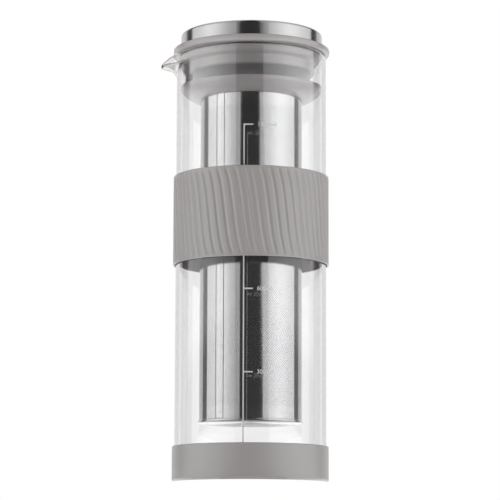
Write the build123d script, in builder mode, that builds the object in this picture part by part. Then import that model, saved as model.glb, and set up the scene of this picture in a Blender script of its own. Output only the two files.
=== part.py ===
from build123d import *
import os
from math import acos, cos, degrees, radians, sin

os.makedirs("parts", exist_ok=True)

# Cold-brew coffee maker: a glass carafe with a hanging filter tube and a plug lid.
# Millimetres, +Z up. The origin is the centre of the underside, and the spout points to -X.

# Silicone boot under the glass
boot_height = 21.3
boot_wall = 1.4
boot_floor = 4.0
boot_bottom_fillet = 1.4
boot_top_fillet = 0.5
boot_recess_depth = 0.6        # ring-shaped recess that leaves a foot and a centre pad
boot_foot_width = 7.0
boot_pad_r = 12.0

# Glass carafe
glass_outer_r = 46.0
glass_wall = 2.2
glass_floor = 6.0
glass_corner_r = 7.0
glass_height = 257.7           # from the underside of the glass to the rim
rim_roundness = 0.4            # the rim's fillet as a share of the glass left at the lip's end

# Pulled spout
spout_reach = 9.9              # how far the lip stands out past the glass
spout_drop = 5.3               # how far the lip sinks below the rim
spout_depth = 14.7             # from the rim down to the spout's root
spout_underside_rise = 7.8     # from the root up to the underside of the lip
spout_nose_r = 5.0
spout_lip = 1.0                # glass left at the lip's end
spout_lip_floor = 1.15         # glass left under the lip
spout_bite = 0.3               # how deep the spout's sides run into the wall
spout_steps = (10, 30, 50, 70, 90)   # stations along the underside, in degrees of a quarter turn
droop_inset = 5.0              # the droop starts this far inside the glass
droop_sweep = 65               # degrees of arc that the lip's edge droops through

# Silicone grip sleeve, free to slide on the glass
sleeve_height = 54.4
sleeve_wall = 1.25
sleeve_clearance = 0.3
sleeve_above_boot = 110.2
sleeve_edge_fillet = 0.35
groove_count = 56
groove_width = 2.6
groove_depth = 0.5
groove_margin = 0.9            # plain band above and below the grooves
groove_lean = 9.9              # how far a groove moves round the sleeve from top to bottom
groove_hook = 3.3              # the share of the lean that lies close to the two ends
groove_stations = 7

# Filter tube
jacket_gap = 12.5              # between the tube and the glass
sheet = 0.4
space_under_filter = 25.15
seam_angle = -121.0            # the lap seam, seen left of the front
lap_width = 6.0
joggle_width = 1.2

# Crimped cap at the tube's lower end
cap_sheet = 0.5
cap_lip_height = 1.6
cap_rise = 1.0                 # the cap slopes up this far to its middle

# Steel ring at the tube's upper end
ring_sheet = 0.5
ring_skirt = 8.0
ring_flange_width = 7.2
ring_corner_fillet = 0.4

# Silicone collar
collar_below_rim = 20.0
collar_height = 7.7
collar_clearance = 0.3
collar_edge = 2.3              # upright edge at the widest place
collar_lip = 1.3
collar_bottom_width = 1.6
collar_bulge = 1.0
collar_ring_seat = 3.7         # from the collar's underside to the ring's flange
collar_cover = 2.0             # how far the collar laps over the ring's flange
collar_cover_thick = 1.2

# Lid
flange_clearance = 0.3
flange_overhang = 2.15
flange_height = 3.8
flange_top_fillet = 0.6
flange_bottom_fillet = 2.4
seal_clearance = 0.9
seal_straight = 1.4            # upright part of the seal ring
seal_slope_height = 3.4
seal_slope_inset = 1.4
seal_height = 6.2
neck_step = 4.2
stopper_depth = 12.3           # from the underside of the flange to the stopper's bottom
stopper_bottom_fillet = 1.5
stopper_wall = 5.0
stopper_floor = 2.6
stopper_groove_depth = 1.4
stopper_groove_height = 3.0
stopper_groove_above_floor = 4.0
shell_inset = 4.55             # the steel shell stands back from the flange's edge
shell_height = 9.6
shell_sheet = 0.6
shell_corner_r = 1.4

cut_over = 10.0                # how far cutting solids run past what they cut

# Heights that follow
glass_bottom_z = boot_floor
rim_z = glass_bottom_z + glass_height
floor_top_z = glass_bottom_z + glass_floor
glass_inner_r = glass_outer_r - glass_wall
tube_outer_r = glass_inner_r - jacket_gap
cap_bottom_z = floor_top_z + space_under_filter
tube_bottom_z = cap_bottom_z + cap_sheet
collar_top_z = rim_z - collar_below_rim
collar_bottom_z = collar_top_z - collar_height
ring_seat_z = collar_bottom_z + collar_ring_seat
flange_bottom_z = rim_z + flange_clearance
flange_top_z = flange_bottom_z + flange_height
stopper_bottom_z = flange_bottom_z - stopper_depth


def spout_section(wall_r, reach, nose_r, height):
    """Plan of the spout at one height: a round nose between two sides that meet the wall."""
    bite_r = wall_r - spout_bite
    nose_x = wall_r + reach - nose_r
    side_angle = acos((bite_r - nose_r) / nose_x)
    c, s = cos(side_angle), sin(side_angle)
    with BuildSketch(Plane.XY.offset(height)) as section:
        with BuildLine():
            near = Line((-bite_r * c, -bite_r * s), (-nose_x - nose_r * c, -nose_r * s))
            far = Line((-nose_x - nose_r * c, nose_r * s), (-bite_r * c, bite_r * s))
            ThreePointArc(near @ 1, (-nose_x - nose_r, 0), far @ 0)
            Line(far @ 1, near @ 0)
        make_face()
    return section.sketch


def spout_stack(wall_r, reach, nose_r, rise):
    """Sections that follow a quarter of an ellipse from the root out to the lip."""
    root_z = rim_z - spout_depth
    stack = []
    for step in spout_steps:
        out = reach * (1 - cos(radians(step)))
        stack.append(spout_section(wall_r, out, nose_r, root_z + rise * sin(radians(step))))
    return stack


def groove_angle(station):
    """Turn of a groove at a height given from -1, the lower end, to 1, the upper end."""
    straight = (groove_lean - groove_hook) / 2 * station
    hook = groove_hook / 2 * station * abs(station) ** 3
    return -degrees((straight + hook) / sleeve_outer_r)


# The boot: a stretched silicone cup
with BuildPart() as base_boot:
    boot_outer_r = glass_outer_r + boot_wall
    with BuildSketch(Plane.XZ):
        Rectangle(boot_outer_r, boot_height, align=(Align.MIN, Align.MIN))
        outer_corners = vertices().group_by(Axis.X)[-1]
        fillet(outer_corners.sort_by(Axis.Y)[0], boot_bottom_fillet)
        fillet(vertices().sort_by(Axis.Y)[-1], boot_top_fillet)
    revolve(axis=Axis.Z)
    with BuildSketch(Plane.XZ):
        with Locations((0, boot_floor)):
            Rectangle(glass_outer_r, boot_height, align=(Align.MIN, Align.MIN))
        fillet(vertices().group_by(Axis.Y)[0].sort_by(Axis.X)[-1], glass_corner_r)
    revolve(axis=Axis.Z, mode=Mode.SUBTRACT)
    with BuildSketch():
        Circle(boot_outer_r - boot_foot_width)
        Circle(boot_pad_r, mode=Mode.SUBTRACT)
    extrude(amount=boot_recess_depth, mode=Mode.SUBTRACT)

# The spout outside and inside: each curves out of the wall, then rises straight to be trimmed
with BuildPart() as spout_outside:
    outside = spout_stack(glass_outer_r, spout_reach, spout_nose_r, spout_underside_rise)
    loft(outside)
    extrude(outside[-1], amount=cut_over)

with BuildPart() as spout_channel:
    channel_reach = spout_reach + glass_wall - spout_lip
    channel_rise = spout_underside_rise + spout_lip_floor
    inside = spout_stack(glass_inner_r, channel_reach, spout_nose_r - spout_lip, channel_rise)
    loft(inside)
    extrude(inside[-1], amount=cut_over)

# The carafe: a blown cylinder with the spout drawn out of its rim
with BuildPart() as glass_carafe:
    with BuildSketch(Plane.XZ):
        with Locations((0, glass_bottom_z)):
            Rectangle(glass_outer_r, glass_height, align=(Align.MIN, Align.MIN))
        fillet(vertices().group_by(Axis.Y)[0].sort_by(Axis.X)[-1], glass_corner_r)
    revolve(axis=Axis.Z)
    add(spout_outside.part)
    with BuildSketch(Plane.XZ):
        with Locations((0, floor_top_z)):
            Rectangle(glass_inner_r, glass_height, align=(Align.MIN, Align.MIN))
        fillet(vertices().group_by(Axis.Y)[0].sort_by(Axis.X)[-1], glass_corner_r - glass_wall)
    revolve(axis=Axis.Z, mode=Mode.SUBTRACT)
    add(spout_channel.part, mode=Mode.SUBTRACT)
    droop_reach = spout_reach + droop_inset
    droop_r = (droop_reach ** 2 + spout_drop ** 2) / (2 * spout_drop)
    trim_side = glass_outer_r + spout_reach + cut_over
    with BuildSketch(Plane.XZ):
        with BuildLine():
            level = Line((trim_side, rim_z), (droop_inset - glass_outer_r, rim_z))
            droop = JernArc(level @ 1, (-1, 0), droop_r, droop_sweep)
            Polyline(
                droop @ 1,
                (-trim_side, (droop @ 1).Y),
                (-trim_side, rim_z + cut_over),
                (trim_side, rim_z + cut_over),
                level @ 0,
            )
        make_face()
    extrude(amount=trim_side, both=True, mode=Mode.SUBTRACT)
    lip_face, level_face = faces().sort_by(Axis.Z)[-2:]
    rim_edges = (lip_face.edges() + level_face.edges()).filter_by(Axis.Y, reverse=True)
    fillet(rim_edges, rim_roundness * spout_lip)

# One S-shaped groove of the sleeve: a shallow valley lofted through turned sections
sleeve_inner_r = glass_outer_r + sleeve_clearance
sleeve_outer_r = sleeve_inner_r + sleeve_wall
sleeve_bottom_z = boot_height + sleeve_above_boot
sleeve_middle_z = sleeve_bottom_z + sleeve_height / 2
groove_half_length = sleeve_height / 2 - groove_margin
valley_sections = []
for i in range(groove_stations):
    station = 2 * i / (groove_stations - 1) - 1
    station_plane = Plane.XY.offset(sleeve_middle_z + station * groove_half_length)
    with BuildSketch(station_plane.rotated((0, 0, groove_angle(station)))) as valley:
        with BuildLine():
            left = (sleeve_outer_r, -groove_width / 2)
            right = (sleeve_outer_r, groove_width / 2)
            ThreePointArc(left, (sleeve_outer_r - groove_depth, 0), right)
            Polyline(
                right,
                (sleeve_outer_r + groove_depth, groove_width / 2),
                (sleeve_outer_r + groove_depth, -groove_width / 2),
                left,
            )
        make_face()
    valley_sections.append(valley.sketch)
with BuildPart() as groove:
    loft(valley_sections)

# The grip sleeve: a plain band with the groove cut all the way round
with BuildPart() as grip_sleeve:
    with BuildSketch(Plane.XZ):
        with Locations((sleeve_inner_r, sleeve_bottom_z)):
            Rectangle(sleeve_wall, sleeve_height, align=(Align.MIN, Align.MIN))
        fillet(vertices().group_by(Axis.X)[-1], sleeve_edge_fillet)
    revolve(axis=Axis.Z)
    with PolarLocations(0, groove_count):
        add(groove.part, mode=Mode.SUBTRACT)

# The filter tube: perforated sheet rolled up and welded along a lap
with BuildPart() as filter_screen:
    with BuildSketch(Plane.XY.offset(tube_bottom_z)):
        Circle(tube_outer_r)
        Circle(tube_outer_r - sheet, mode=Mode.SUBTRACT)
    extrude(amount=ring_seat_z - tube_bottom_z)
    lap_bottom_z = cap_bottom_z + cap_lip_height
    lap_r = tube_outer_r + sheet
    lap_turn = degrees(lap_width / tube_outer_r)
    joggle_turn = degrees(joggle_width / tube_outer_r)
    with BuildSketch(Plane.XY.offset(lap_bottom_z)):
        with BuildLine():
            flap = CenterArc((0, 0), lap_r, seam_angle - lap_turn, lap_turn)
            root = CenterArc(
                (0, 0),
                tube_outer_r - sheet / 2,
                seam_angle - lap_turn - joggle_turn,
                lap_turn + joggle_turn,
            )
            Line(flap @ 0, root @ 0)
            Line(flap @ 1, root @ 1)
        make_face()
    extrude(amount=collar_bottom_z - lap_bottom_z)

# The cap: a very shallow cone whose edge is turned up round the tube
with BuildPart() as filter_bottom_cap:
    cap_r = tube_outer_r + cap_sheet
    dish_r = tube_outer_r - sheet - 3 * cap_sheet
    with BuildSketch(Plane.XZ):
        with BuildLine():
            Polyline(
                (0, cap_bottom_z + cap_rise),
                (dish_r, cap_bottom_z),
                (cap_r, cap_bottom_z),
                (cap_r, cap_bottom_z + cap_lip_height),
                (tube_outer_r, cap_bottom_z + cap_lip_height),
                (tube_outer_r, tube_bottom_z),
                (dish_r, tube_bottom_z),
                (0, tube_bottom_z + cap_rise),
                close=True,
            )
        make_face()
        fillet(vertices().group_by(Axis.X)[-1].sort_by(Axis.Y)[0], cap_sheet)
    revolve(axis=Axis.Z)

# The ring: a skirt welded inside the tube and a flange that the collar grips
with BuildPart() as filter_top_ring:
    ring_outer_r = tube_outer_r + ring_flange_width
    skirt_outer_r = tube_outer_r - sheet
    skirt_inner_r = skirt_outer_r - ring_sheet
    with BuildSketch(Plane.XZ):
        with BuildLine():
            Polyline(
                (skirt_inner_r, ring_seat_z - ring_skirt),
                (skirt_outer_r, ring_seat_z - ring_skirt),
                (skirt_outer_r, ring_seat_z),
                (ring_outer_r, ring_seat_z),
                (ring_outer_r, ring_seat_z + ring_sheet),
                (skirt_inner_r, ring_seat_z + ring_sheet),
                close=True,
            )
        make_face()
        fillet(vertices().group_by(Axis.X)[0].sort_by(Axis.Y)[-1], ring_corner_fillet)
    revolve(axis=Axis.Z)

# The collar: a soft bowl moulded round the ring's flange
with BuildPart() as filter_collar:
    collar_outer_r = glass_inner_r - collar_clearance
    collar_foot_r = tube_outer_r + collar_bottom_width
    cover_r = ring_outer_r - collar_cover
    cover_z = ring_seat_z + ring_sheet
    with BuildSketch(Plane.XZ):
        with BuildLine():
            bowl = SagittaArc(
                (collar_foot_r, collar_bottom_z),
                (collar_outer_r, collar_top_z - collar_edge),
                -collar_bulge,
            )
            Polyline(
                bowl @ 1,
                (collar_outer_r, collar_top_z),
                (collar_outer_r - collar_lip, collar_top_z),
                (cover_r + collar_cover_thick, cover_z + collar_cover_thick),
                (cover_r, cover_z + collar_cover_thick),
                (cover_r, cover_z),
                (ring_outer_r, cover_z),
                (ring_outer_r, ring_seat_z),
                (tube_outer_r, ring_seat_z),
                (tube_outer_r, collar_bottom_z),
                bowl @ 0,
            )
        make_face()
    revolve(axis=Axis.Z)

# The stopper: a silicone plug with a seal ring and a flange that lies over the rim
flange_r = glass_outer_r + flange_overhang
seal_r = glass_inner_r - seal_clearance
neck_r = seal_r - neck_step
well_r = neck_r - stopper_wall
well_floor_z = stopper_bottom_z + stopper_floor
bead_bottom_z = well_floor_z + stopper_groove_above_floor
bead_top_z = bead_bottom_z + stopper_groove_height
bead_r = well_r + stopper_groove_depth
seal_straight_z = flange_bottom_z - seal_straight
with BuildPart() as lid_stopper:
    with BuildSketch(Plane.XZ):
        with BuildLine():
            Polyline(
                (0, stopper_bottom_z),
                (neck_r, stopper_bottom_z),
                (neck_r, flange_bottom_z - seal_height),
                (seal_r - seal_slope_inset, seal_straight_z - seal_slope_height),
                (seal_r, seal_straight_z),
                (seal_r, flange_bottom_z),
                (flange_r, flange_bottom_z),
                (flange_r, flange_top_z),
                (well_r, flange_top_z),
                (well_r, bead_top_z),
                (bead_r, bead_top_z),
                (bead_r, bead_bottom_z),
                (well_r, bead_bottom_z),
                (well_r, well_floor_z),
                (0, well_floor_z),
                close=True,
            )
        make_face()
        fillet(vertices().group_by(Axis.X)[-1].sort_by(Axis.Y)[0], flange_bottom_fillet)
        fillet(vertices().group_by(Axis.Y)[-1].sort_by(Axis.X)[-1], flange_top_fillet)
        fillet(vertices().group_by(Axis.Y)[0].sort_by(Axis.X)[-1], stopper_bottom_fillet)
    revolve(axis=Axis.Z)

# The steel shell: a shallow drawn cup, open downwards
shell_r = flange_r - shell_inset
shell_top_z = flange_top_z + shell_height
with BuildPart() as lid_shell:
    with BuildSketch(Plane.XZ):
        with Locations((0, flange_top_z)):
            Rectangle(shell_r, shell_height, align=(Align.MIN, Align.MIN))
        fillet(vertices().group_by(Axis.Y)[-1].sort_by(Axis.X)[-1], shell_corner_r)
    revolve(axis=Axis.Z)
    with BuildSketch(Plane.XZ):
        with Locations((0, flange_top_z)):
            Rectangle(
                shell_r - shell_sheet,
                shell_height - shell_sheet,
                align=(Align.MIN, Align.MIN),
            )
        fillet(vertices().group_by(Axis.Y)[-1].sort_by(Axis.X)[-1], shell_corner_r - shell_sheet)
    revolve(axis=Axis.Z, mode=Mode.SUBTRACT)

# The puck: it fills the shell, and its boss snaps into the stopper
with BuildPart() as lid_core:
    puck_r = shell_r - shell_sheet
    puck_top_z = shell_top_z - shell_sheet
    with BuildSketch(Plane.XZ):
        with BuildLine():
            Polyline(
                (0, well_floor_z),
                (well_r, well_floor_z),
                (well_r, bead_bottom_z),
                (bead_r, bead_bottom_z),
                (bead_r, bead_top_z),
                (well_r, bead_top_z),
                (well_r, flange_top_z),
                (puck_r, flange_top_z),
                (puck_r, puck_top_z),
                (0, puck_top_z),
                close=True,
            )
        make_face()
        fillet(vertices().group_by(Axis.Y)[-1].sort_by(Axis.X)[-1], shell_corner_r - shell_sheet)
    revolve(axis=Axis.Z)

finished = {
    "base_boot": base_boot,
    "glass_carafe": glass_carafe,
    "grip_sleeve": grip_sleeve,
    "filter_screen": filter_screen,
    "filter_bottom_cap": filter_bottom_cap,
    "filter_top_ring": filter_top_ring,
    "filter_collar": filter_collar,
    "lid_stopper": lid_stopper,
    "lid_shell": lid_shell,
    "lid_core": lid_core,
}
for name, piece in finished.items():
    piece.part.label = name
    export_step(piece.part, f"parts/{name}.step")
    print(name, round(piece.part.volume / 1000, 2), "cm3")
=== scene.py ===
from math import acos, asin, atan2, cos, hypot, pi, radians, sin, sqrt, tau
import bpy
import bmesh
from mathutils import Matrix, Vector


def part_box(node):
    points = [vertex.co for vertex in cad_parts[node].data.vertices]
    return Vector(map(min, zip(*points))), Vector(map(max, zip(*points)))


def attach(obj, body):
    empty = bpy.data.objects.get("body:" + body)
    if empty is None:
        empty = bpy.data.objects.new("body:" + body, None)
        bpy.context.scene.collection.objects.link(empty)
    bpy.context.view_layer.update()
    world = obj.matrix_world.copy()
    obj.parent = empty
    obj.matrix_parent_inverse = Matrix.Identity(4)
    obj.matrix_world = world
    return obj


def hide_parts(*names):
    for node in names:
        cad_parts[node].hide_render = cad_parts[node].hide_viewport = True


# Glass cold brew coffee maker: carafe, silicone boot, grip sleeve and lid, steel filter tube.
# Metres, +Z up, the spout points to -X and the camera looks along +Y.

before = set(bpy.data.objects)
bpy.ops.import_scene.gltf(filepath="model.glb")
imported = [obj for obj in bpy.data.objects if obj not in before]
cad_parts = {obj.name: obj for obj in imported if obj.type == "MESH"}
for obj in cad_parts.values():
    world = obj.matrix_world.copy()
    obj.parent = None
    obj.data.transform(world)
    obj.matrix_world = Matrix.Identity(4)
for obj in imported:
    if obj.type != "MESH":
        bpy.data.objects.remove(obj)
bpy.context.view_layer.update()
print("frame loaded:", sorted(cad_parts))

mm = 0.001
ringSteps = 192            # faces round a plain turned piece


# Sizes shared by several pieces, read from the frame

lowest = {name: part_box(name)[0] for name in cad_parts}
highest = {name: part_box(name)[1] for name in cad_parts}

glassOuterR = highest["glass_carafe"].y
rimZ = highest["glass_carafe"].z
tubeR = highest["filter_screen"].y


# Small helpers

def linear(hexCode):
    channels = [int(hexCode[i:i + 2], 16) / 255 for i in (1, 3, 5)]
    return [c / 12.92 if c <= 0.04045 else ((c + 0.055) / 1.055) ** 2.4 for c in channels] + [1.0]


def addNode(tree, kind, feeds=None, **settings):
    node = tree.nodes.new(kind)
    for name, value in settings.items():
        setattr(node, name, value)
    for socket, source in (feeds or {}).items():
        if isinstance(source, bpy.types.NodeSocket):
            tree.links.new(source, node.inputs[socket])
        else:
            node.inputs[socket].default_value = source
    return node


def newMaterial(name):
    material = bpy.data.materials.new(name)
    material.use_nodes = True
    material.node_tree.nodes.clear()
    return material, material.node_tree


def finishObject(name, bm, material, sharpAngle=40):
    mesh = bpy.data.meshes.new(name)
    bm.to_mesh(mesh)
    bm.free()
    for face in mesh.polygons:
        face.use_smooth = True
    mesh.set_sharp_from_angle(angle=radians(sharpAngle))
    mesh.materials.append(material)
    obj = bpy.data.objects.new(name, mesh)
    bpy.context.scene.collection.objects.link(obj)
    print("made", name, len(mesh.polygons), "faces")
    return obj


# Corners are (radius, height, rounding) in metres; short edges beside each one hold the flats flat
def drawProfile(bm, corners, closed=True, segments=5, hold=0.25 * mm):
    verts = [bm.verts.new((r, 0, z)) for r, z, rounding in corners]
    for a, b in zip(verts, verts[1:] + verts[:1] if closed else verts[1:]):
        bm.edges.new((a, b))
    for vert, (r, z, rounding) in zip(verts, corners):
        if rounding > 0:
            bmesh.ops.bevel(bm, geom=[vert], offset=rounding, segments=segments, profile=0.5,
                            material=-1, affect="VERTICES")
    for edge in bm.edges[:]:
        if edge.calc_length() > 4 * hold:
            length = edge.calc_length()
            newEdge, newVert = bmesh.utils.edge_split(edge, edge.verts[0], hold / length)
            rest = newEdge if newEdge.calc_length() > edge.calc_length() else edge
            ends = [v for v in rest.verts if v is not newVert]
            bmesh.utils.edge_split(rest, ends[0], hold / rest.calc_length())


def spinProfile(bm, steps=ringSteps):
    bmesh.ops.spin(bm, geom=bm.verts[:] + bm.edges[:], cent=(0, 0, 0), axis=(0, 0, 1),
                   dvec=(0, 0, 0), angle=tau, steps=steps, use_merge=True, use_duplicate=False)
    bmesh.ops.remove_doubles(bm, verts=bm.verts[:], dist=1e-6)
    bmesh.ops.recalc_face_normals(bm, faces=bm.faces[:])


# An upright fin at the spout side, drawn as (radius, height) corners
def addFin(bm, corners, halfWidth, rounding=0.5 * mm):
    face = bm.faces.new([bm.verts.new((-r, -halfWidth, z)) for r, z in corners])
    made = bmesh.ops.extrude_face_region(bm, geom=[face])["geom"]
    moved = [item for item in made if isinstance(item, bmesh.types.BMVert)]
    bmesh.ops.translate(bm, verts=moved, vec=(0, 2 * halfWidth, 0))
    verts = face.verts[:] + moved
    edges = list({edge for vert in verts for edge in vert.link_edges})
    bmesh.ops.recalc_face_normals(bm, faces=list({f for e in edges for f in e.link_faces}))
    bmesh.ops.bevel(bm, geom=edges, offset=rounding, segments=3, profile=0.5, material=-1,
                    affect="EDGES")


def turnedMesh(corners, steps=ringSteps):
    bm = bmesh.new()
    drawProfile(bm, corners)
    spinProfile(bm, steps)
    return bm


def turned(name, corners, material, steps=ringSteps):
    return finishObject(name, turnedMesh(corners, steps), material)


# Materials

def objectPlace(tree):
    return addNode(tree, "ShaderNodeTexCoord").outputs["Object"]


def tintBetween(tree, share, first, last):
    return addNode(tree, "ShaderNodeMix", {"Factor": share, "A": linear(first), "B": linear(last)},
                   data_type="RGBA").outputs["Result"]


def siliconeMaterial(name, roughness, tints):
    # Food-grade silicone rubber, compression moulded: matte, a little soft in its highlights
    material, tree = newMaterial(name)
    grainSize, cloudSize = 0.5 * mm, 30 * mm
    place = objectPlace(tree)
    grain = addNode(tree, "ShaderNodeTexNoise", {"Vector": place, "Scale": 1 / grainSize,
                                                 "Detail": 3.0})
    cloud = addNode(tree, "ShaderNodeTexNoise", {"Vector": place, "Scale": 1 / cloudSize,
                                                 "Detail": 2.0})
    bump = addNode(tree, "ShaderNodeBump", {"Height": grain.outputs["Fac"], "Strength": 0.12,
                                           "Distance": 0.05 * mm})
    shader = addNode(tree, "ShaderNodeBsdfPrincipled", {
        "Base Color": tintBetween(tree, cloud.outputs["Fac"], *tints), "Roughness": roughness,
        "IOR": 1.5, "Specular IOR Level": 1.0, "Normal": bump.outputs["Normal"]})
    addNode(tree, "ShaderNodeOutputMaterial", {"Surface": shader.outputs["BSDF"]})
    return material


def glassMaterial():
    # Borosilicate glass, drawn and fire polished: clear, with painted shade over the spout, where
    # the tint turns a little greyer to stand in for the shading of its thick, bent glass
    wallEnds, spoutStarts = -46.0 * mm, -47.0 * mm
    turnsInside, softShare = 2.5, 0.5
    material, tree = newMaterial("borosilicateGlass")
    along = addNode(tree, "ShaderNodeSeparateXYZ", {"Vector": objectPlace(tree)}).outputs["X"]
    # Painted shade: from the outer wall outwards the glass tint greys over the whole spout
    pulled = addNode(tree, "ShaderNodeMapRange", {"Value": along, "From Min": wallEnds,
                                                  "From Max": spoutStarts})
    glass = addNode(tree, "ShaderNodeBsdfPrincipled", {
        "Base Color": tintBetween(tree, pulled.outputs[0], "#fefefe", "#d7d4d2"),
        "Roughness": 0.0, "IOR": 1.47, "Transmission Weight": 1.0})
    path = addNode(tree, "ShaderNodeLightPath")
    # Light that is trapped in the rim leaves it after a few turns, a little weaker
    trapped = addNode(tree, "ShaderNodeMath", {0: path.outputs["Glossy Depth"], 1: turnsInside},
                      operation="GREATER_THAN")
    clear = addNode(tree, "ShaderNodeBsdfTransparent", {
        "Color": tintBetween(tree, trapped.outputs[0], "#ffffff", "#a4a4a4")})
    # Lamps and half of the soft light shine straight through, so that what stands behind is lit
    straight = addNode(tree, "ShaderNodeMath", {0: path.outputs["Is Diffuse Ray"], 1: softShare,
                                                2: path.outputs["Is Shadow Ray"]},
                       operation="MULTIPLY_ADD")
    through = addNode(tree, "ShaderNodeMath", {0: straight.outputs[0], 1: trapped.outputs[0]},
                      operation="MAXIMUM")
    mix = addNode(tree, "ShaderNodeMixShader", {
        0: through.outputs[0], 1: glass.outputs["BSDF"], 2: clear.outputs["BSDF"]})
    addNode(tree, "ShaderNodeOutputMaterial", {"Surface": mix.outputs["Shader"]})
    return material


# Metal whose shine spreads up and down, across the fine rings that rolling or brushing leaves
def ringSteel(tree, color, roughness, spread, normal=None):
    feeds = {"Base Color": color, "Metallic": 1.0, "Roughness": roughness, "Anisotropic": spread,
             "Anisotropic Rotation": 0.25,
             "Tangent": addNode(tree, "ShaderNodeTangent", direction_type="RADIAL",
                                axis="Z").outputs[0]}
    if normal:
        feeds["Normal"] = normal
    shader = addNode(tree, "ShaderNodeBsdfPrincipled", feeds)
    addNode(tree, "ShaderNodeOutputMaterial", {"Surface": shader.outputs["BSDF"]})


# Distance round the turned part, distance from its axis and height, in metres
def roundSpace(tree):
    place = objectPlace(tree)
    parts = addNode(tree, "ShaderNodeSeparateXYZ", {"Vector": place})
    across = addNode(tree, "ShaderNodeVectorMath", {0: place, 1: (1, 1, 0)}, operation="MULTIPLY")
    radius = addNode(tree, "ShaderNodeVectorMath", {0: across.outputs[0]}, operation="LENGTH")
    turn = addNode(tree, "ShaderNodeMath", {0: parts.outputs["Y"], 1: parts.outputs["X"]},
                   operation="ARCTAN2")
    return turn.outputs[0], radius.outputs["Value"], parts.outputs["Z"]


def screenMaterial():
    # Stainless sheet, etched with fine holes and rolled: bright, a little dulled by the dots
    holePitch = 1.1 * mm       # the real pitch of about 0.5 mm is too fine to show
    holeEdge, sheetEdge = 0.16, 0.34
    plainBelow, plainAbove = 44.3 * mm, 226 * mm
    material, tree = newMaterial("etchedStainlessSheet")
    turn, radius, height = roundSpace(tree)
    around = addNode(tree, "ShaderNodeMath", {0: turn, 1: tubeR}, operation="MULTIPLY")
    flat = addNode(tree, "ShaderNodeCombineXYZ", {"X": around.outputs[0], "Y": height})
    staggered = addNode(tree, "ShaderNodeMapping", {"Vector": flat.outputs[0],
                                                    "Rotation": (0, 0, radians(45))})
    dots = addNode(tree, "ShaderNodeTexVoronoi", {"Vector": staggered.outputs[0],
                                                  "Scale": 1 / holePitch, "Randomness": 0.0},
                   voronoi_dimensions="2D")
    sheet = addNode(tree, "ShaderNodeMapRange", {"Value": dots.outputs["Distance"],
                                                 "From Min": holeEdge, "From Max": sheetEdge})
    low = addNode(tree, "ShaderNodeMath", {0: height, 1: plainBelow}, operation="LESS_THAN")
    high = addNode(tree, "ShaderNodeMath", {0: height, 1: plainAbove}, operation="GREATER_THAN")
    plain = addNode(tree, "ShaderNodeMath", {0: low.outputs[0], 1: high.outputs[0]},
                    operation="MAXIMUM")
    solid = addNode(tree, "ShaderNodeMath", {0: plain.outputs[0], 1: sheet.outputs[0]},
                    operation="MAXIMUM")
    ringSteel(tree, tintBetween(tree, solid.outputs[0], "#8a8a8b", "#aeaeaf"), roughness=0.09,
              spread=0.8)
    return material


def brushedMaterial():
    # Stainless sheet, drawn and brushed on a lathe: fine rings that spread the shine up and down
    brushPitch = 0.25 * mm
    material, tree = newMaterial("brushedStainless")
    turn, radius, height = roundSpace(tree)
    slow = addNode(tree, "ShaderNodeMath", {0: turn, 1: 4 * brushPitch}, operation="MULTIPLY")
    rings = addNode(tree, "ShaderNodeCombineXYZ", {"X": slow.outputs[0], "Y": radius,
                                                   "Z": height})
    brush = addNode(tree, "ShaderNodeTexNoise", {"Vector": rings.outputs[0],
                                                 "Scale": 1 / brushPitch, "Detail": 2.0})
    rough = addNode(tree, "ShaderNodeMapRange", {"Value": brush.outputs["Fac"], "To Min": 0.16,
                                                 "To Max": 0.26})
    bump = addNode(tree, "ShaderNodeBump", {"Height": brush.outputs["Fac"], "Strength": 0.15,
                                           "Distance": 0.02 * mm})
    ringSteel(tree, linear("#bcbcbc"), rough.outputs[0], spread=1.0,
              normal=bump.outputs["Normal"])
    return material


def printMaterial():
    # Ceramic ink, screen printed and fired on: flat white
    speckSize, throughShare = 0.4 * mm, 0.6
    material, tree = newMaterial("firedWhiteInk")
    speck = addNode(tree, "ShaderNodeTexNoise", {"Vector": objectPlace(tree),
                                                 "Scale": 1 / speckSize})
    face = addNode(tree, "ShaderNodeBsdfPrincipled", {
        "Base Color": tintBetween(tree, speck.outputs["Fac"], "#dadad8", "#e8e8e6"),
        "Roughness": 0.45})
    # The film is thin, so the tube behind it mirrors a lit back
    back = addNode(tree, "ShaderNodeBsdfTranslucent", {"Color": linear("#f6f6f4")})
    film = addNode(tree, "ShaderNodeMixShader", {0: throughShare, 1: face.outputs["BSDF"],
                                                 2: back.outputs["BSDF"]})
    addNode(tree, "ShaderNodeOutputMaterial", {"Surface": film.outputs["Shader"]})
    return material


def puckMaterial():
    # Polypropylene, injection moulded: dull grey, hidden in the lid
    grainSize = 0.8 * mm
    material, tree = newMaterial("mouldedPolypropylene")
    grain = addNode(tree, "ShaderNodeTexNoise", {"Vector": objectPlace(tree),
                                                 "Scale": 1 / grainSize})
    rough = addNode(tree, "ShaderNodeMapRange", {"Value": grain.outputs["Fac"], "To Min": 0.4,
                                                 "To Max": 0.55})
    shader = addNode(tree, "ShaderNodeBsdfPrincipled", {"Base Color": linear("#8c8a89"),
                                                       "Roughness": rough.outputs[0]})
    addNode(tree, "ShaderNodeOutputMaterial", {"Surface": shader.outputs["BSDF"]})
    return material


# The pieces that seal come from a smoother mould than those that grip, and their tint is a little
# lighter: painted light that brightens the collar and the stopper
silicone = siliconeMaterial("mouldedSilicone", 0.36, ("#8d8989", "#938f8f"))
smoothPaintedLitSilicone = siliconeMaterial("smoothPaintedLitSilicone", 0.27, ("#928e8e", "#989494"))
glass = glassMaterial()
screenSteel = screenMaterial()
brushedSteel = brushedMaterial()
whiteInk = printMaterial()
puckPlastic = puckMaterial()
print("materials ready")


# The glass carafe

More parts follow.
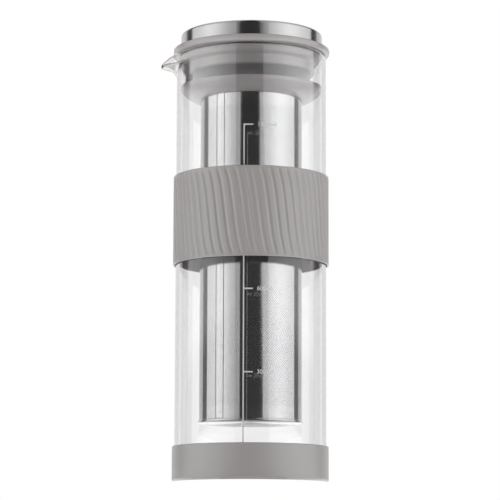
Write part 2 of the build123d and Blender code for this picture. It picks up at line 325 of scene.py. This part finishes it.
carafe = {
    "wall": 2.2 * mm,
    "floor": 6.0 * mm,
    "cornerR": 7.0 * mm,
    "spoutReach": 9.88 * mm,
    "spoutDrop": 5.3 * mm,
    "spoutDepth": 14.7 * mm,
    "undersideRise": 7.8 * mm,
    "droopInset": 5.0 * mm,
    "noseR": 5.0 * mm,
    "lip": 1.0 * mm,
    "lipFloor": 1.15 * mm,
    "shoulder": 2.0 * mm,          # the fire-polished rim starts to round this far down
    "shoulderInside": 1.0 * mm,
    "cornerSteps": 8,
    "rimSteps": 16,
    "curveRows": 16,
    "lipRows": 5,
    "steps": 384,
}


# The spout's plan is a nose circle and two lines tangent to the wall; share runs -1 to 1 along it
def beakPoint(wallR, reach, noseR, share):
    d = wallR + reach - noseR
    side = acos((wallR - noseR) / d)
    flank = sqrt(d * d - (wallR - noseR) ** 2)
    arc = noseR * side
    s = abs(share) * (flank + arc)
    if s <= arc:
        x, y = -d - noseR * cos(s / noseR), noseR * sin(s / noseR)
    else:
        t = s - arc
        x = -d - noseR * cos(side) + t * sin(side)
        y = noseR * sin(side) + t * cos(side)
    return x, y * (1 if share > 0 else -1)


# Where a point of the plain cylinder goes; angle is measured from -X
def spoutPlan(wallR, reach, noseR, angle):
    if reach > 0:
        side = acos((wallR - noseR) / (wallR + reach - noseR))
        if abs(angle) < side:
            return beakPoint(wallR, reach, noseR, angle / side)
    return -wallR * cos(angle), wallR * sin(angle)


def makeCarafe():
    c = carafe
    innerR = glassOuterR - c["wall"]
    bottomZ = lowest["glass_carafe"].z
    rootZ = rimZ - c["spoutDepth"]
    halfWall = c["wall"] / 2
    outerRise, innerRise = c["undersideRise"], c["undersideRise"] + c["lipFloor"]

    def wallRows(rise, shoulder):
        curve = [rootZ + rise * sin(pi / 2 * i / c["curveRows"])
                 for i in range(c["curveRows"] + 1)]
        lipZ = curve[-1]
        top = rimZ - shoulder
        return curve + [lipZ + (top - lipZ) * (i + 1) / c["lipRows"] for i in range(c["lipRows"])]

    bm = bmesh.new()
    quarter = [pi / 2 * i / c["cornerSteps"] for i in range(c["cornerSteps"] + 1)]
    outerCorner = [(glassOuterR - c["cornerR"] * (1 - sin(a)),
                    bottomZ + c["cornerR"] * (1 - cos(a))) for a in quarter]
    innerCornerR = c["cornerR"] - c["wall"]
    floorZ = bottomZ + c["floor"]
    innerCorner = [(innerR - innerCornerR * (1 - cos(a)), floorZ + innerCornerR * (1 - sin(a)))
                   for a in quarter]
    rim = []
    for a in [pi * i / c["rimSteps"] for i in range(1, c["rimSteps"])]:
        shoulder = c["shoulder"] if a < pi / 2 else c["shoulderInside"]
        rim.append((glassOuterR - halfWall + halfWall * cos(a), rimZ - shoulder * (1 - sin(a))))
    points = [(0, bottomZ)] + outerCorner
    points += [(glassOuterR, z) for z in wallRows(outerRise, c["shoulder"])] + rim
    points += [(innerR, z) for z in reversed(wallRows(innerRise, c["shoulderInside"]))]
    points += innerCorner + [(0, floorZ)]
    verts = [bm.verts.new((r, 0, z)) for r, z in points]
    for a, b in zip(verts, verts[1:]):
        bm.edges.new((a, b))
    spinProfile(bm, c["steps"])

    # The lip droops on a circle that starts inside the wall and is level there
    reachOuter = c["spoutReach"]
    reachInner = c["spoutReach"] + c["wall"] - c["lip"]
    droopStart = glassOuterR - c["droopInset"]
    droopReach = reachOuter + c["droopInset"]
    droopR = (droopReach ** 2 + c["spoutDrop"] ** 2) / (2 * c["spoutDrop"])

    def pulled(wallR, reach, noseR, rise, angle, z):
        lift = min(max((z - rootZ) / rise, 0), 1)
        x, y = spoutPlan(wallR, reach * (1 - cos(asin(lift))), noseR, angle)
        return x, y, rootZ + rise

    for v in bm.verts:
        if v.co.z <= rootZ or v.co.x > 0:
            continue
        radius = hypot(v.co.x, v.co.y)
        mix = (radius - innerR) / c["wall"]
        angle = atan2(v.co.y, -v.co.x)
        xo, yo, lipO = pulled(glassOuterR, reachOuter, c["noseR"], outerRise, angle, v.co.z)
        xi, yi, lipI = pulled(innerR, reachInner, c["noseR"] - c["lip"], innerRise, angle, v.co.z)
        x, y = xi + (xo - xi) * mix, yi + (yo - yi) * mix
        lipZ = lipI + (lipO - lipI) * mix
        past = min(max(-droopStart - x, 0), droopR)
        edgeZ = rimZ - droopR + sqrt(droopR ** 2 - past ** 2)
        # The rows above the underside share out the height up to the drooping edge
        z = v.co.z
        if z > lipZ:
            z = lipZ + (z - lipZ) * (edgeZ - lipZ) / (rimZ - lipZ)
        v.co = (x, y, z)
    bmesh.ops.recalc_face_normals(bm, faces=bm.faces[:])
    obj = finishObject("glassCarafe", bm, glass, sharpAngle=60)
    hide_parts("glass_carafe")
    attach(obj, "carafe")


makeCarafe()


# The printed scale: a line with four marks and their volumes

scalePrint = {
    "lineX": -4.3 * mm,            # left of the front, along the glass
    "lineWidth": 0.75 * mm,
    "markHeights": {"1200 ml": 210.75 * mm, "900 ml": 161.4 * mm, "600 ml": 112.05 * mm,
                    "300 ml": 62.7 * mm},
    "markLength": 5.5 * mm,
    "textGap": 2.4 * mm,
    "textHeight": 3.6 * mm,
    "film": 0.03 * mm,
    "hidden": 8.0 * mm,            # how far the line runs down behind the boot
    "piece": 1.5 * mm,             # the print is cut this short to bend round the glass
    "cuts": 20,                    # to each side of the front
}


def textMesh(words, height):
    curve = bpy.data.curves.new("words", "FONT")
    curve.body = words
    curve.size = height
    curve.align_y = "CENTER"
    obj = bpy.data.objects.new("words", curve)
    bpy.context.scene.collection.objects.link(obj)
    bpy.context.view_layer.update()
    evaluated = obj.evaluated_get(bpy.context.evaluated_depsgraph_get())
    mesh = bpy.data.meshes.new_from_object(evaluated)
    bpy.data.objects.remove(obj)
    return mesh


def makeScale():
    s = scalePrint
    bm = bmesh.new()

    def strip(x0, x1, z0, z1):
        grid = bmesh.ops.create_grid(bm, x_segments=1, y_segments=1, size=0.5)
        middle = Matrix.Translation(((x0 + x1) / 2, (z0 + z1) / 2, 0))
        bmesh.ops.transform(bm, verts=grid["verts"],
                            matrix=middle @ Matrix.Diagonal((x1 - x0, z1 - z0, 1, 1)))

    half = s["lineWidth"] / 2
    lineTop = max(s["markHeights"].values()) + half
    lineBottom = highest["base_boot"].z - s["hidden"]
    strip(s["lineX"] - half, s["lineX"] + half, lineBottom, lineTop)
    for words, z in s["markHeights"].items():
        strip(s["lineX"] + half, s["lineX"] + s["markLength"], z - half, z + half)
        mesh = textMesh(words, s["textHeight"])
        mesh.transform(Matrix.Translation((s["lineX"] + s["markLength"] + s["textGap"], z, 0)))
        bm.from_mesh(mesh)
    for i in range(-s["cuts"], s["cuts"] + 1):
        bmesh.ops.bisect_plane(bm, geom=bm.verts[:] + bm.edges[:] + bm.faces[:],
                               plane_co=(i * s["piece"], 0, 0), plane_no=(1, 0, 0))
    for v in bm.verts:
        angle = v.co.x / glassOuterR
        r = glassOuterR + s["film"]
        v.co = (r * sin(angle), -r * cos(angle), v.co.y)
    bmesh.ops.triangulate(bm, faces=bm.faces[:])
    bmesh.ops.recalc_face_normals(bm, faces=bm.faces[:])
    for face in bm.faces:
        if face.normal.dot(face.calc_center_median() * Vector((1, 1, 0))) < 0:
            face.normal_flip()
    obj = finishObject("printedScale", bm, whiteInk)
    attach(obj, "carafe")


makeScale()


# The silicone boot

boot = {
    "edgeBevel": 1.4 * mm,
    "topBevel": 0.5 * mm,
    "innerBevel": 0.3 * mm,
    "footBevel": 0.2 * mm,
    "stretch": 0.02 * mm,          # drawn just clear of the glass that it is stretched on
    "floor": 4.0 * mm,
    "recess": 0.6 * mm,
    "footWidth": 7.0 * mm,
    "padR": 12.0 * mm,
}


def makeBoot():
    b = boot
    outerR = highest["base_boot"].y
    top = highest["base_boot"].z
    footR = outerR - b["footWidth"]
    innerR = glassOuterR + b["stretch"]
    corners = [
        (0, 0, 0), (b["padR"], 0, b["footBevel"]), (b["padR"], b["recess"], b["footBevel"]),
        (footR, b["recess"], b["footBevel"]), (footR, 0, b["footBevel"]),
        (outerR, 0, b["edgeBevel"]), (outerR, top, b["topBevel"]), (innerR, top, b["innerBevel"]),
        (innerR, b["floor"], carafe["cornerR"]), (0, b["floor"], 0),
    ]
    bm = bmesh.new()
    drawProfile(bm, corners, closed=False)
    spinProfile(bm)
    obj = finishObject("siliconeBoot", bm, silicone)
    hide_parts("base_boot")
    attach(obj, "carafe")


makeBoot()


# The grip sleeve, with its S-shaped grooves

sleeve = {
    "innerR": 46.3 * mm,
    "outerR": 47.55 * mm,
    "grooves": 56,
    "pointsPerGroove": 12,
    "grooveDepth": 0.5 * mm,
    "landShare": 0.42,             # the share of the pitch that stands proud
    "lean": 9.9 * mm,              # how far a groove runs round the sleeve from bottom to top
    "hook": 3.3 * mm,              # the part of it that comes near the ends
    "margin": 0.9 * mm,            # plain band at the top and bottom
    "runOut": 1.6 * mm,            # the grooves get shallow over this length
    "edgeBevel": 0.35 * mm,
    "rows": 56,
}


def smoothStep(t):
    t = min(max(t, 0), 1)
    return t * t * (3 - 2 * t)


def makeSleeve():
    s = sleeve
    bottom, top = lowest["grip_sleeve"].z, highest["grip_sleeve"].z
    middle, half = (bottom + top) / 2, (top - bottom) / 2 - s["margin"]
    bm = bmesh.new()
    drawProfile(bm, [
        (s["innerR"], bottom, s["edgeBevel"]), (s["outerR"], bottom, s["edgeBevel"]),
        (s["outerR"], top, s["edgeBevel"]), (s["innerR"], top, s["edgeBevel"])], segments=4)
    middleR, touch = (s["innerR"] + s["outerR"]) / 2, 0.01 * mm
    outside = [e for e in bm.edges if e.calc_length() > half and e.verts[0].co.x > middleR]
    bmesh.ops.subdivide_edges(bm, edges=outside, cuts=s["rows"])
    spinProfile(bm, s["grooves"] * s["pointsPerGroove"])
    for v in bm.verts:
        radius = hypot(v.co.x, v.co.y)
        if radius < s["outerR"] - touch:
            continue
        station = (v.co.z - middle) / half
        if abs(station) >= 1:
            continue
        shift = -((s["lean"] - s["hook"]) / 2 * station
                  + s["hook"] / 2 * station * abs(station) ** 3)
        turn = atan2(v.co.y, v.co.x) - shift / s["outerR"]
        phase = (turn * s["grooves"] / tau) % 1
        off = abs(phase - 0.5) * 2             # 0 in the middle of a land, 1 in a groove
        depth = smoothStep((off - s["landShare"]) / (1 - s["landShare"]))
        depth *= smoothStep((1 - abs(station)) * half / s["runOut"])
        v.co.xy *= (radius - s["grooveDepth"] * depth) / radius
    obj = finishObject("gripSleeve", bm, silicone, sharpAngle=60)
    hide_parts("grip_sleeve")
    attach(obj, "sleeve")


makeSleeve()


# The filter's tube, with its lap seam and weld dots

filterTube = {
    "sheet": 0.4 * mm,
    "seamAngle": radians(-121),
    "lapWidth": 6.0 * mm,
    "lapSteps": 8,
    "lapRoot": 0.1 * mm,           # how deep the flap's back edge lies in the sheet below
    "lapEdge": 0.1 * mm,
    "sinkWidth": 1.2 * mm,         # over this width the flap dips into the sheet
    "sinkPast": 0.05 * mm,
    "weldPitch": 6.7 * mm,
    "weldInset": 1.6 * mm,
    "weldR": 0.5 * mm,
    "weldRise": 0.16,              # height of a dot as a share of its radius
}


def makeTube():
    t = filterTube
    bottom, top = lowest["filter_screen"].z, highest["filter_screen"].z
    bm = bmesh.new()
    drawProfile(bm, [(tubeR - t["sheet"], bottom, 0), (tubeR, bottom, 0), (tubeR, top, 0),
                     (tubeR - t["sheet"], top, 0)])
    spinProfile(bm)
    flapTop, flapBottom = lowest["filter_collar"].z, highest["filter_bottom_cap"].z
    flap = bmesh.new()
    rootR, flapR = tubeR - t["lapRoot"], tubeR + t["sheet"]
    drawProfile(flap, [(rootR, flapBottom, 0), (flapR, flapBottom, t["lapEdge"]),
                       (flapR, flapTop, t["lapEdge"]), (rootR, flapTop, 0)])
    lapTurn = t["lapWidth"] / tubeR
    bmesh.ops.rotate(flap, verts=flap.verts[:], cent=(0, 0, 0),
                     matrix=Matrix.Rotation(t["seamAngle"] - lapTurn, 3, "Z"))
    first = flap.edges[:]
    bmesh.ops.spin(flap, geom=flap.verts[:] + flap.edges[:], cent=(0, 0, 0), axis=(0, 0, 1),
                   dvec=(0, 0, 0), angle=lapTurn, steps=t["lapSteps"], use_duplicate=False)
    last = [e for e in flap.edges if e.is_boundary and e not in first]
    bmesh.ops.contextual_create(flap, geom=first)
    bmesh.ops.contextual_create(flap, geom=last)
    for v in flap.verts:
        back = (t["seamAngle"] - atan2(v.co.y, v.co.x)) * tubeR
        sink = smoothStep((back - (t["lapWidth"] - t["sinkWidth"])) / t["sinkWidth"])
        radius = hypot(v.co.x, v.co.y)
        v.co.xy *= (radius - sink * (t["sheet"] + t["sinkPast"])) / radius
    bmesh.ops.recalc_face_normals(flap, faces=flap.faces[:])
    welds = int((flapTop - flapBottom) / t["weldPitch"])
    weldAngle = t["seamAngle"] - t["weldInset"] / tubeR
    for i in range(welds):
        z = flapBottom + (i + 0.5) * t["weldPitch"]
        place = (Matrix.Rotation(weldAngle, 4, "Z") @ Matrix.Translation((flapR, 0, z))
                 @ Matrix.Rotation(pi / 2, 4, "Y") @ Matrix.Diagonal((1, 1, t["weldRise"], 1)))
        bmesh.ops.create_uvsphere(flap, u_segments=10, v_segments=6, radius=t["weldR"],
                                  matrix=place)
    mesh = bpy.data.meshes.new("flap")
    flap.to_mesh(mesh)
    flap.free()
    bm.from_mesh(mesh)
    bpy.data.meshes.remove(mesh)
    obj = finishObject("filterScreen", bm, screenSteel)
    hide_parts("filter_screen")
    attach(obj, "filter")


# The cap crimped round the tube's foot, and the ring at its top that the collar is held by

filterEnds = {
    "sheet": 0.5 * mm,
    "crimpHeight": 1.6 * mm,
    "crimpRound": 0.45 * mm,
    "capRise": 1.0 * mm,           # towards the middle
    "dishRound": 0.4 * mm,
    "dishInnerRound": 0.3 * mm,
    "skirtRound": 0.1 * mm,
}


def makeFilterEnds():
    e = filterEnds
    sheet, boreR = e["sheet"], tubeR - filterTube["sheet"]
    z = lowest["filter_bottom_cap"].z
    capR, crimpZ = highest["filter_bottom_cap"].y, z + e["crimpHeight"]
    dishR = boreR - 3 * sheet
    cap = turned("filterCap", [
        (0, z + e["capRise"], 0), (dishR, z, e["dishRound"]), (capR, z, e["crimpRound"]),
        (capR, crimpZ, e["crimpRound"]), (tubeR, crimpZ, 0), (tubeR, z + sheet, 0),
        (dishR, z + sheet, e["dishInnerRound"]), (0, z + sheet + e["capRise"], 0)], brushedSteel)
    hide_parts("filter_bottom_cap")
    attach(cap, "filter")

    seat, ringTop = highest["filter_screen"].z, highest["filter_screen"].z + sheet
    skirtZ, ringR = lowest["filter_top_ring"].z, highest["filter_top_ring"].y
    ring = turned("filterRing", [
        (boreR - sheet, skirtZ, e["skirtRound"]), (boreR, skirtZ, e["skirtRound"]),
        (boreR, seat, 0), (ringR, seat, 0), (ringR, ringTop, 0),
        (boreR - sheet, ringTop, e["crimpRound"])], brushedSteel)
    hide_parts("filter_top_ring")
    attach(ring, "filter")


# The silicone collar that hangs the tube in the glass, with an upright lug behind the spout

collarShape = {
    "footGap": 1.6 * mm,           # how far the bowl stands out from the tube at its foot
    "cover": 2.0 * mm,             # how far it laps over the ring
    "coverSheet": 1.2 * mm,
    "coverRound": 0.6 * mm,
    "coverEdge": 0.3 * mm,
    "land": 1.3 * mm,              # flat top of the outer edge
    "landRound": 0.4 * mm,
    "edge": 2.3 * mm,
    "bulge": 1.0 * mm,
    "bowlSteps": 12,
    "lugInset": 1.3 * mm,
    "lugRise": 1.9 * mm,
    "postR": 40.6 * mm,
    "postRise": 3.3 * mm,
    "postGap": 0.1 * mm,           # to the stopper's lug
    "finHalfWidth": 4.0 * mm,
}


def makeCollar():
    c = collarShape
    low, high = lowest["filter_collar"].z, highest["filter_collar"].z
    outer, ringR = highest["filter_collar"].y, highest["filter_top_ring"].y
    seat, ringTop = highest["filter_screen"].z, highest["filter_screen"].z + filterEnds["sheet"]
    footR, cover = tubeR + c["footGap"], ringR - c["cover"]
    start, end = Vector((footR, 0, low)), Vector((outer, 0, high - c["edge"]))
    side = Vector(((end - start).z, 0, -(end - start).x)).normalized()
    steps = c["bowlSteps"]
    bowl = [start.lerp(end, i / steps) + side * c["bulge"] * sin(pi * i / steps)
            for i in range(steps + 1)]
    coverZ = ringTop + c["coverSheet"]
    bm = turnedMesh([(p.x, p.z, 0) for p in bowl] + [
        (outer, high, c["landRound"]), (outer - c["land"], high, c["landRound"]),
        (cover + c["coverSheet"], coverZ, c["coverRound"]), (cover, coverZ, c["coverEdge"]),
        (cover, ringTop, 0), (ringR, ringTop, 0), (ringR, seat, 0), (tubeR, seat, 0),
        (tubeR, low, 0)])
    lugR = outer - c["lugInset"]
    postTop = lowest["lid_stopper"].z - c["postGap"]
    addFin(bm, [(cover, coverZ), (lugR, end.z), (lugR, high + c["lugRise"]),
                (c["postR"], high + c["postRise"]), (c["postR"], postTop), (cover, postTop)],
           c["finHalfWidth"])
    collar = finishObject("filterCollar", bm, smoothPaintedLitSilicone)
    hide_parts("filter_collar")
    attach(collar, "filter")


makeTube()
makeFilterEnds()
makeCollar()


# The lid: stopper, steel shell and the puck between them

lid = {
    "flangeHeight": 3.8 * mm,
    "flangeTopBevel": 0.6 * mm,
    "flangeBottomBevel": 2.4 * mm,
    "sealR": 42.9 * mm,
    "sealRound": 0.7 * mm,
    "sealEdge": 0.15 * mm,
    "sealStraight": 1.4 * mm,
    "sealSlopeHeight": 3.4 * mm,
    "sealSlopeInset": 1.4 * mm,
    "sealSlopeRound": 1.1 * mm,
    "sealHeight": 6.2 * mm,
    "relief": 1.5 * mm,            # a dark groove between the seal ring and the flange
    "reliefR": 38.0 * mm,
    "reliefRound": 0.2 * mm,
    "neckR": 38.7 * mm,
    "neckRound": 0.3 * mm,
    "finRootR": 37.0 * mm,         # an upright fin closes the spout's root
    "finR": 43.2 * mm,
    "finSlope": 2.8 * mm,
    "finBelowFlange": 2.0 * mm,
    "bottomBevel": 1.5 * mm,
    "wellR": 33.7 * mm,
    "wellEdge": 0.3 * mm,
    "wellFloor": 2.6 * mm,
    "wellFloorRound": 0.5 * mm,
    "shellSheet": 0.6 * mm,
    "shellBevel": 1.4 * mm,
    "shellEdge": 0.15 * mm,
    "shellSteps": 256,
}


def makeLid():
    d = lid
    bottom, top = lowest["lid_stopper"].z, highest["lid_stopper"].z
    flangeR, flangeZ = highest["lid_stopper"].y, top - d["flangeHeight"]
    slopeZ, reliefZ = flangeZ - d["sealStraight"], flangeZ - d["relief"]
    floorZ = bottom + d["wellFloor"]
    bm = turnedMesh([
        (0, bottom, 0), (d["neckR"], bottom, d["bottomBevel"]),
        (d["neckR"], flangeZ - d["sealHeight"], d["neckRound"]),
        (d["sealR"] - d["sealSlopeInset"], slopeZ - d["sealSlopeHeight"], d["sealSlopeRound"]),
        (d["sealR"], slopeZ, d["sealRound"]), (d["sealR"], reliefZ, d["sealEdge"]),
        (d["reliefR"], reliefZ, d["reliefRound"]), (d["reliefR"], flangeZ, d["reliefRound"]),
        (flangeR, flangeZ, d["flangeBottomBevel"]), (flangeR, top, d["flangeTopBevel"]),
        (d["wellR"], top, d["wellEdge"]), (d["wellR"], floorZ, d["wellFloorRound"]),
        (0, floorZ, 0)])
    finTop = flangeZ - d["finBelowFlange"]
    addFin(bm, [(d["finRootR"], bottom), (collarShape["postR"], bottom),
                (d["finR"], bottom + d["finSlope"]), (d["finR"], finTop),
                (d["finRootR"], finTop)], collarShape["finHalfWidth"])
    stopper = finishObject("lidStopper", bm, smoothPaintedLitSilicone)
    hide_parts("lid_stopper")
    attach(stopper, "lid")

    shellR, sheet = highest["lid_shell"].y, d["shellSheet"]
    low, high = lowest["lid_shell"].z, highest["lid_shell"].z
    shell = turned("lidShell", [
        (0, high, 0), (shellR, high, d["shellBevel"]), (shellR, low, d["shellEdge"]),
        (shellR - sheet, low, d["shellEdge"]),
        (shellR - sheet, high - sheet, d["shellBevel"] - sheet),
        (0, high - sheet, 0)], brushedSteel, steps=d["shellSteps"])
    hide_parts("lid_shell")
    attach(shell, "lid")
    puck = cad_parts["lid_core"]
    puck.data.materials.clear()
    puck.data.materials.append(puckPlastic)


makeLid()


# Studio: a pale floor, a soft tent of light with dark gaps, and the camera

studio = {
    "floorSize": 6.0,
    "floorDrop": 0.05 * mm,
    "floorGlow": 0.9,              # for soft light
    "floorShine": 1.5,             # for mirrors and glass, as a share of the walls' light
    "spotPast": 1.4 * mm,          # the white spot under the boot, past the glass
    "spotDrop": 0.15 * mm,
    # Half widths of the dark gap beside the camera, in degrees, and how they change with height
    "leftGap": 24.0,
    "rightGap": [(4.5, 27.5), (10.7, 18.3)],
    "lidGap": [(13.2, 0.0), (13.5, -4.0)],
    "frontGapLevel": [(12.0, 0.08), (12.9, 0.0)],
    "gapSoft": 0.7,
    # Brightness of the tent by the angle from the camera's side, in degrees
    "leftWall": [(20, 0.9), (32, 0.95), (45, 1.35), (60, 1.9), (75, 2.1), (92, 1.7), (112, 1.5),
                 (113.5, 0.09), (131, 0.09), (133, 0.8), (170, 0.93), (175.5, 0.78), (178.5, 0.97)],
    "rightWall": [(14, 1.05), (22, 1.1), (35, 1.45), (48, 1.85), (62, 2.2), (78, 2.1), (95, 1.7),
                  (112, 1.5), (113.5, 0.09), (131, 0.09), (133, 0.8), (170, 0.93), (175.5, 0.78),
                  (178.5, 0.97)],
    # Share of the wall's brightness by height above the horizon, in degrees
    "wallHeight": [(-90, 0.5), (2.2, 0.5), (3.4, 1.03), (11.8, 1.0), (12.8, 1.35), (13.4, 0.9),
                   (15, 0.7), (19, 0.45), (90, 0.45)],
    "backFade": [(113.0, 0.0), (133.0, 1.0)],    # behind the part the height has no effect
}


# A colour ramp with its stops given in the units of its source
def addRamp(tree, source, low, high, stops):
    share = addNode(tree, "ShaderNodeMapRange", {"Value": source, "From Min": low,
                                                 "From Max": high})
    ramp = addNode(tree, "ShaderNodeValToRGB", {"Fac": share.outputs[0]})
    elements = ramp.color_ramp.elements        # two of them are there from the start
    for i, (place, level) in enumerate(stops):
        element = elements[i] if i < 2 else elements.new(1.0)
        element.position = (place - low) / (high - low)
        element.color = (level, level, level, 1)
    return ramp.outputs["Color"]


# The light that comes from a direction: walls to the left and right, a pale one behind the part,
# and dark gaps beside the camera and at both sides
def tentLight(tree, way):
    def maths(operation, a, b=0.0):
        return addNode(tree, "ShaderNodeMath", {0: a, 1: b}, operation=operation).outputs[0]

    def slope(source, ends):
        (low, first), (high, last) = ends
        return addNode(tree, "ShaderNodeMapRange", {
            "Value": source, "From Min": low, "From Max": high, "To Min": first,
            "To Max": last}).outputs[0]

    def mixColors(factor, a, b, blend="MIX"):
        mix = addNode(tree, "ShaderNodeMix", {"Factor": factor}, data_type="RGBA",
                      blend_type=blend)
        for name, color in (("A", a), ("B", b)):
            if isinstance(color, float):
                mix.inputs[name].default_value = (color, color, color, 1)
            else:
                tree.links.new(color, mix.inputs[name])
        return mix.outputs["Result"]

    g = studio
    parts = addNode(tree, "ShaderNodeSeparateXYZ", {"Vector": way})
    turn = maths("ARCTAN2", maths("ABSOLUTE", parts.outputs["X"]),
                 maths("MULTIPLY", parts.outputs["Y"], -1.0))
    turn = maths("MULTIPLY", turn, 180 / pi)
    rise = maths("MULTIPLY", maths("ARCSINE", parts.outputs["Z"]), 180 / pi)
    isRight = maths("GREATER_THAN", parts.outputs["X"], 0.0)
    wall = mixColors(isRight, addRamp(tree, turn, 0, 180, g["leftWall"]),
                     addRamp(tree, turn, 0, 180, g["rightWall"]))
    height = mixColors(slope(turn, g["backFade"]),
                       addRamp(tree, rise, -90, 90, g["wallHeight"]), 1.0)
    side = addNode(tree, "ShaderNodeMix", {"Factor": isRight, "A": g["leftGap"],
                                           "B": slope(rise, g["rightGap"])}).outputs["Result"]
    past = maths("SUBTRACT", turn, maths("ADD", side, slope(rise, g["lidGap"])))
    lit = slope(past, ((-g["gapSoft"], 0.0), (g["gapSoft"], 1.0)))
    return mixColors(lit, slope(rise, g["frontGapLevel"]), mixColors(1.0, wall, height, "MULTIPLY"))


def makeFloor():
    bm = bmesh.new()
    bmesh.ops.create_grid(bm, x_segments=1, y_segments=1, size=studio["floorSize"] / 2)
    material, tree = newMaterial("paleFloor")
    pale = addNode(tree, "ShaderNodeBsdfPrincipled", {"Base Color": linear("#f2f2f2"),
                                                     "Roughness": 0.9})
    extra = addNode(tree, "ShaderNodeEmission", {"Color": (1, 1, 1, 1),
                                                 "Strength": studio["floorGlow"]})
    bright = addNode(tree, "ShaderNodeAddShader", {0: pale.outputs["BSDF"], 1: extra.outputs[0]})
    outward = addNode(tree, "ShaderNodeVectorMath", {0: objectPlace(tree)}, operation="NORMALIZE")
    # In mirrors and glass the floor carries on from the foot of the walls
    glow = addNode(tree, "ShaderNodeEmission", {"Color": tentLight(tree, outward.outputs[0]),
                                                "Strength": studio["floorShine"]})
    clear = addNode(tree, "ShaderNodeBsdfTransparent")
    path = addNode(tree, "ShaderNodeLightPath")
    geometry = addNode(tree, "ShaderNodeNewGeometry")
    mirrored = addNode(tree, "ShaderNodeMath", {0: path.outputs["Is Glossy Ray"],
                                                1: path.outputs["Is Transmission Ray"]},
                       operation="MAXIMUM")
    lit = addNode(tree, "ShaderNodeMixShader", {0: mirrored.outputs[0], 1: bright.outputs[0],
                                                2: glow.outputs[0]})
    oneWay = addNode(tree, "ShaderNodeMixShader", {0: geometry.outputs["Backfacing"],
                                                   1: lit.outputs[0], 2: clear.outputs[0]})
    addNode(tree, "ShaderNodeOutputMaterial", {"Surface": oneWay.outputs[0]})
    floor = finishObject("floor", bm, material)
    floor.location.z = -studio["floorDrop"]

    bm = bmesh.new()
    bmesh.ops.create_circle(bm, segments=96, cap_ends=True,
                            radius=glassOuterR + studio["spotPast"])
    material, tree = newMaterial("whiteRestingSpot")
    glow = addNode(tree, "ShaderNodeEmission", {"Color": (1, 1, 1, 1), "Strength": 1.0})
    addNode(tree, "ShaderNodeOutputMaterial", {"Surface": glow.outputs[0]})
    spot = finishObject("restingSpot", bm, material)
    spot.location.z = -studio["spotDrop"]


def makeTent():
    world = bpy.data.worlds.new("lightTent")
    bpy.context.scene.world = world
    world.use_nodes = True
    tree = world.node_tree
    tree.nodes.clear()
    way = addNode(tree, "ShaderNodeTexCoord").outputs["Generated"]
    tent = addNode(tree, "ShaderNodeBackground", {"Color": tentLight(tree, way), "Strength": 1.0})
    white = addNode(tree, "ShaderNodeBackground", {"Color": (1, 1, 1, 1), "Strength": 1.0})
    path = addNode(tree, "ShaderNodeLightPath")
    mix = addNode(tree, "ShaderNodeMixShader", {0: path.outputs["Is Camera Ray"],
                                                1: tent.outputs[0], 2: white.outputs[0]})
    addNode(tree, "ShaderNodeOutputWorld", {"Surface": mix.outputs[0]})


view = {
    "frame": 500.0,                # side of the picture in pixels
    "focalPixels": 2300.0,
    "axisPixel": 250.93,           # where the carafe's axis stands across the picture
    "sensor": 36.0,
    "tiltUp": radians(8.1425),
    "roll": radians(0.19),
    "height": -57.9 * mm,
    "distance": 1393.5 * mm,
    "farthest": 50,
}


def makeCamera():
    data = bpy.data.cameras.new("camera")
    data.sensor_width = view["sensor"]
    data.lens = view["focalPixels"] / view["frame"] * data.sensor_width
    data.clip_end = view["farthest"]
    camera = bpy.data.objects.new("camera", data)
    bpy.context.scene.collection.objects.link(camera)
    aside = (view["frame"] / 2 - view["axisPixel"]) / view["focalPixels"] * view["distance"]
    place = Matrix.Translation((aside, -view["distance"], view["height"]))
    aim = Matrix.Rotation(pi / 2 + view["tiltUp"], 4, "X") @ Matrix.Rotation(view["roll"], 4, "Z")
    camera.matrix_world = place @ aim
    bpy.context.scene.camera = camera


makeFloor()
makeTent()
makeCamera()
bpy.context.scene.view_settings.view_transform = "Standard"
print("studio ready")
